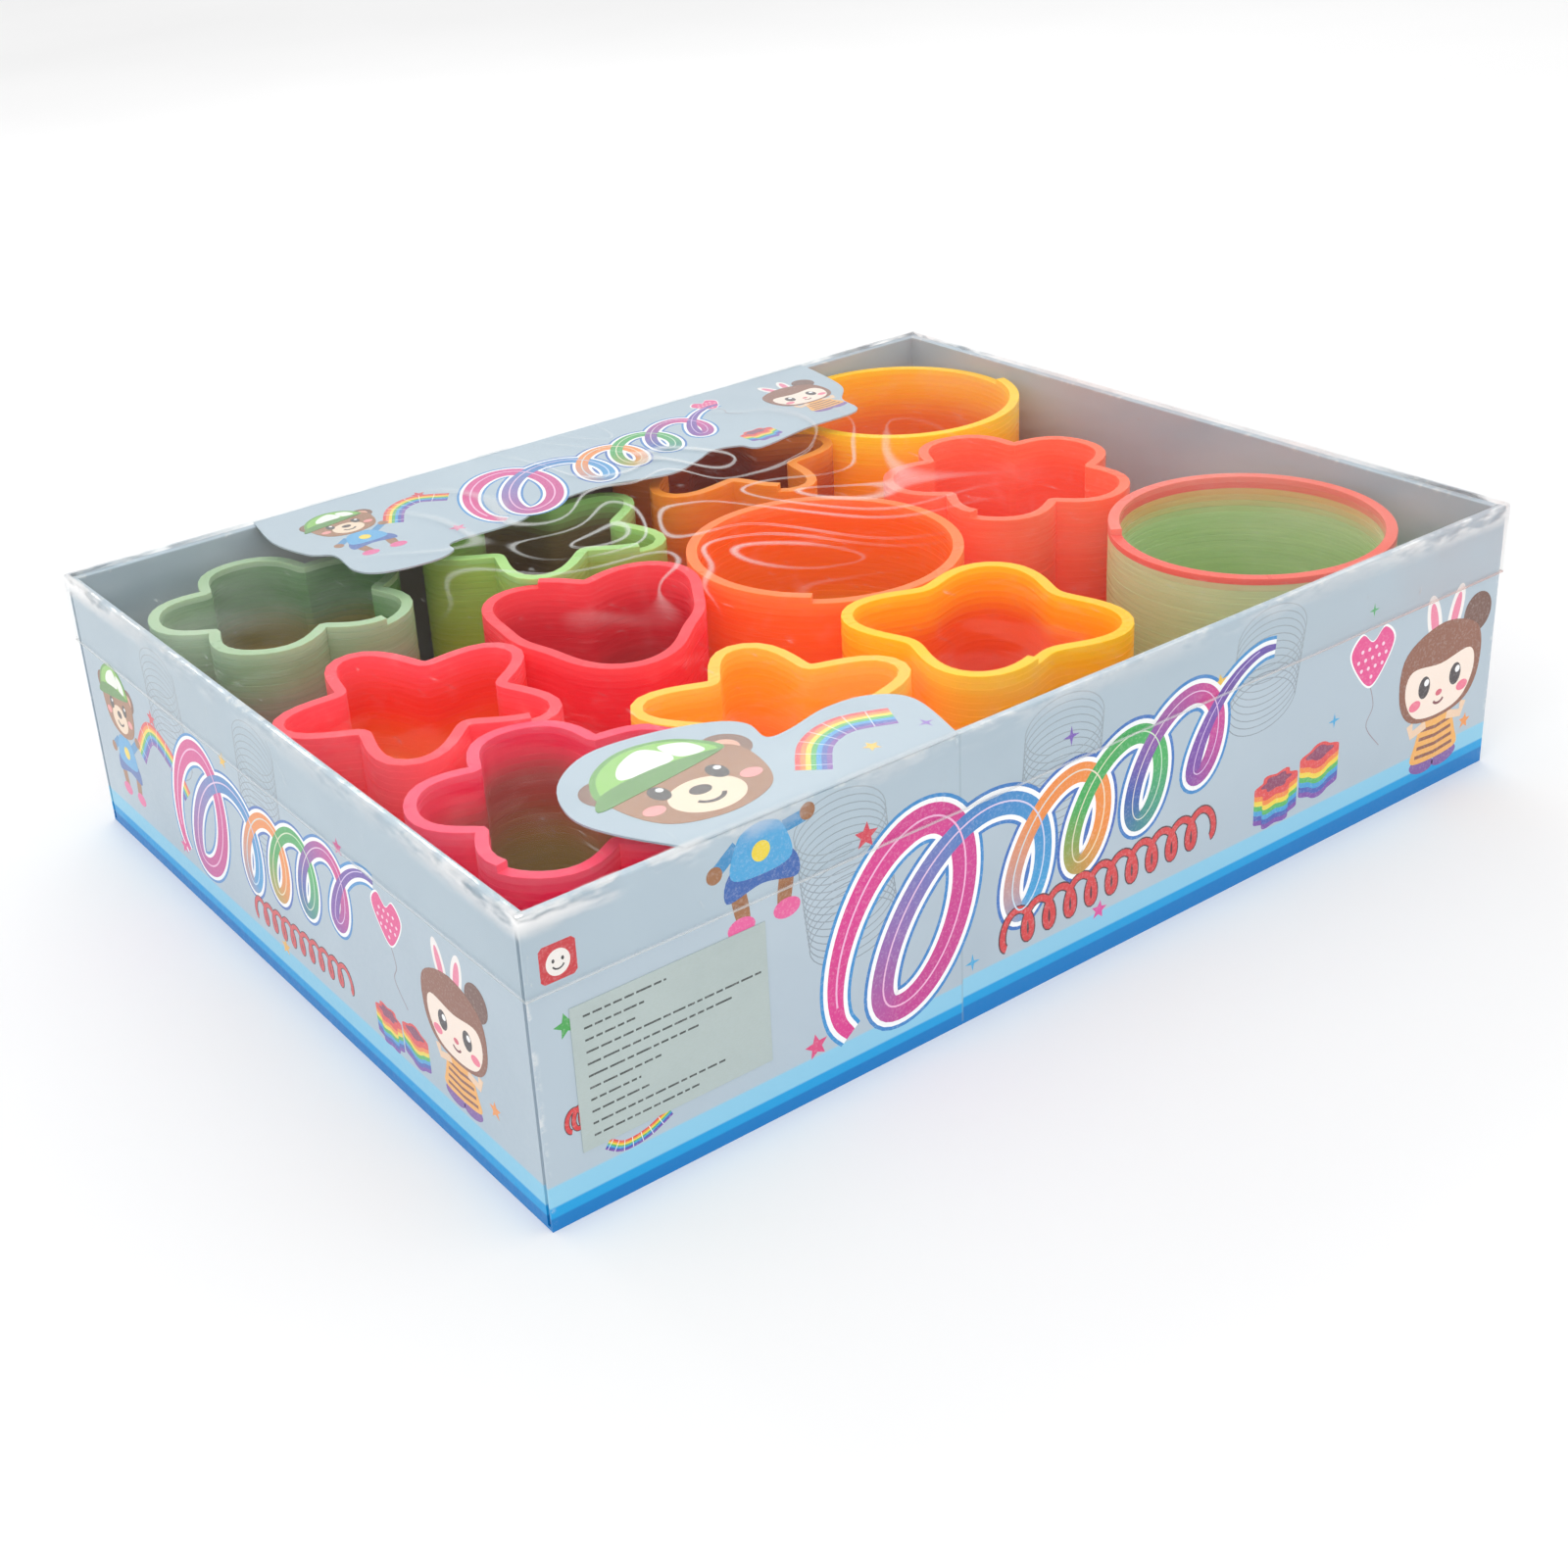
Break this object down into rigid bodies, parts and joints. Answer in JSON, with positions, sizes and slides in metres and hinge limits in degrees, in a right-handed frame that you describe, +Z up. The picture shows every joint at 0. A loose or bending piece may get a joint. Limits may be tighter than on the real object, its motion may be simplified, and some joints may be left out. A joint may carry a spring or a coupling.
{
  "type": "boxed set of spring coils",
  "caption": "Shallow card display tray with a clear slip-over film lid and folding die-cut flaps, holding round, star, flower and heart spring coils that stretch upwards.",
  "frame": {"origin": "under the middle of the tray, on the surface it stands on", "axes": "+X along the tray's length, -Y towards the printed front wall, +Z up"},
  "size_m": [0.3068, 0.2352, 0.0765],
  "materials": {
    "printed_card": "satin print",
    "printed_flap": "satin print",
    "label_paper": "matt",
    "clear_film": "clear",
    "coil_a1_plastic": "tinted in rainbow bands",
    "coil_a2_plastic": "tinted in rainbow bands",
    "coil_a3_plastic": "tinted in rainbow bands",
    "coil_a4_plastic": "tinted in rainbow bands",
    "coil_b1_plastic": "tinted in rainbow bands",
    "coil_b2_plastic": "tinted in rainbow bands",
    "coil_b3_plastic": "tinted in rainbow bands",
    "coil_b4_plastic": "tinted in rainbow bands",
    "coil_c1_plastic": "tinted in rainbow bands",
    "coil_c2_plastic": "tinted in rainbow bands",
    "coil_c3_plastic": "tinted in rainbow bands",
    "coil_c4_plastic": "tinted in rainbow bands"
  },
  "bodies": {
    "root": {"tray_floor": "printed_card", "front_wall": "printed_card", "back_wall": "printed_card", "left_wall": "printed_card", "right_wall": "printed_card", "corner_tabs": "printed_card", "label": "label_paper", "coil_a1_turns": "coil_a1_plastic", "coil_a2_turns": "coil_a2_plastic", "coil_a3_turns": "coil_a3_plastic", "coil_a4_turns": "coil_a4_plastic", "coil_b1_turns": "coil_b1_plastic", "coil_b2_turns": "coil_b2_plastic", "coil_b3_turns": "coil_b3_plastic", "coil_b4_turns": "coil_b4_plastic", "coil_c1_turns": "coil_c1_plastic", "coil_c2_turns": "coil_c2_plastic", "coil_c3_turns": "coil_c3_plastic", "coil_c4_turns": "coil_c4_plastic"},
    "lid": {"lid_film": "clear_film", "lid_front_skirt": "clear_film", "lid_back_skirt": "clear_film", "lid_left_skirt": "clear_film", "lid_right_skirt": "clear_film"},
    "front_flap": {"front_flap": "printed_flap"},
    "back_flap": {"back_flap": "printed_flap"},
    "coil_a1_end": {"coil_a1_top": "coil_a1_plastic"},
    "coil_a2_end": {"coil_a2_top": "coil_a2_plastic"},
    "coil_a3_end": {"coil_a3_top": "coil_a3_plastic"},
    "coil_a4_end": {"coil_a4_top": "coil_a4_plastic"},
    "coil_b1_end": {"coil_b1_top": "coil_b1_plastic"},
    "coil_b2_end": {"coil_b2_top": "coil_b2_plastic"},
    "coil_b3_end": {"coil_b3_top": "coil_b3_plastic"},
    "coil_b4_end": {"coil_b4_top": "coil_b4_plastic"},
    "coil_c1_end": {"coil_c1_top": "coil_c1_plastic"},
    "coil_c2_end": {"coil_c2_top": "coil_c2_plastic"},
    "coil_c3_end": {"coil_c3_top": "coil_c3_plastic"},
    "coil_c4_end": {"coil_c4_top": "coil_c4_plastic"}
  },
  "joints": [
    {"name": "lid_lift", "type": "slide", "parent": "root", "child": "lid", "axis": [0, 0, 1], "range_m": [0, 0.25]},
    {"name": "front_flap_fold", "type": "hinge", "parent": "root", "child": "front_flap", "pos_m": [0, -0.11665, 0.07555], "axis": [1, 0, 0], "range_deg": [0, 90]},
    {"name": "back_flap_fold", "type": "hinge", "parent": "root", "child": "back_flap", "pos_m": [0, 0.11665, 0.07555], "axis": [-1, 0, 0], "range_deg": [0, 90]},
    {"name": "coil_a1_stretch", "type": "slide", "parent": "root", "child": "coil_a1_end", "axis": [0, 0, 1], "range_m": [0, 0.025], "deforming": ["coil_a1_turns"]},
    {"name": "coil_a2_stretch", "type": "slide", "parent": "root", "child": "coil_a2_end", "axis": [0, 0, 1], "range_m": [0, 0.028], "deforming": ["coil_a2_turns"]},
    {"name": "coil_a3_stretch", "type": "slide", "parent": "root", "child": "coil_a3_end", "axis": [0, 0, 1], "range_m": [0, 0.15], "deforming": ["coil_a3_turns"]},
    {"name": "coil_a4_stretch", "type": "slide", "parent": "root", "child": "coil_a4_end", "axis": [0, 0, 1], "range_m": [0, 0.15], "deforming": ["coil_a4_turns"]},
    {"name": "coil_b1_stretch", "type": "slide", "parent": "root", "child": "coil_b1_end", "axis": [0, 0, 1], "range_m": [0, 0.15], "deforming": ["coil_b1_turns"]},
    {"name": "coil_b2_stretch", "type": "slide", "parent": "root", "child": "coil_b2_end", "axis": [0, 0, 1], "range_m": [0, 0.15], "deforming": ["coil_b2_turns"]},
    {"name": "coil_b3_stretch", "type": "slide", "parent": "root", "child": "coil_b3_end", "axis": [0, 0, 1], "range_m": [0, 0.15], "deforming": ["coil_b3_turns"]},
    {"name": "coil_b4_stretch", "type": "slide", "parent": "root", "child": "coil_b4_end", "axis": [0, 0, 1], "range_m": [0, 0.15], "deforming": ["coil_b4_turns"]},
    {"name": "coil_c1_stretch", "type": "slide", "parent": "root", "child": "coil_c1_end", "axis": [0, 0, 1], "range_m": [0, 0.038], "deforming": ["coil_c1_turns"]},
    {"name": "coil_c2_stretch", "type": "slide", "parent": "root", "child": "coil_c2_end", "axis": [0, 0, 1], "range_m": [0, 0.044], "deforming": ["coil_c2_turns"]},
    {"name": "coil_c3_stretch", "type": "slide", "parent": "root", "child": "coil_c3_end", "axis": [0, 0, 1], "range_m": [0, 0.03], "deforming": ["coil_c3_turns"]},
    {"name": "coil_c4_stretch", "type": "slide", "parent": "root", "child": "coil_c4_end", "axis": [0, 0, 1], "range_m": [0, 0.014], "deforming": ["coil_c4_turns"]}
  ],
  "couplings": [
    {"joint": "front_flap_fold", "follows": "lid_lift", "rad_per_m": 6.2831},
    {"joint": "back_flap_fold", "follows": "lid_lift", "rad_per_m": 6.2831},
    {"joint": "coil_a1_stretch", "follows": "lid_lift", "ratio": 0.1},
    {"joint": "coil_a2_stretch", "follows": "lid_lift", "ratio": 0.112},
    {"joint": "coil_a3_stretch", "follows": "lid_lift", "ratio": 0.6},
    {"joint": "coil_a4_stretch", "follows": "lid_lift", "ratio": 0.6},
    {"joint": "coil_b1_stretch", "follows": "lid_lift", "ratio": 0.6},
    {"joint": "coil_b2_stretch", "follows": "lid_lift", "ratio": 0.6},
    {"joint": "coil_b3_stretch", "follows": "lid_lift", "ratio": 0.6},
    {"joint": "coil_b4_stretch", "follows": "lid_lift", "ratio": 0.6},
    {"joint": "coil_c1_stretch", "follows": "lid_lift", "ratio": 0.152},
    {"joint": "coil_c2_stretch", "follows": "lid_lift", "ratio": 0.176},
    {"joint": "coil_c3_stretch", "follows": "lid_lift", "ratio": 0.12},
    {"joint": "coil_c4_stretch", "follows": "lid_lift", "ratio": 0.056}
  ]
}
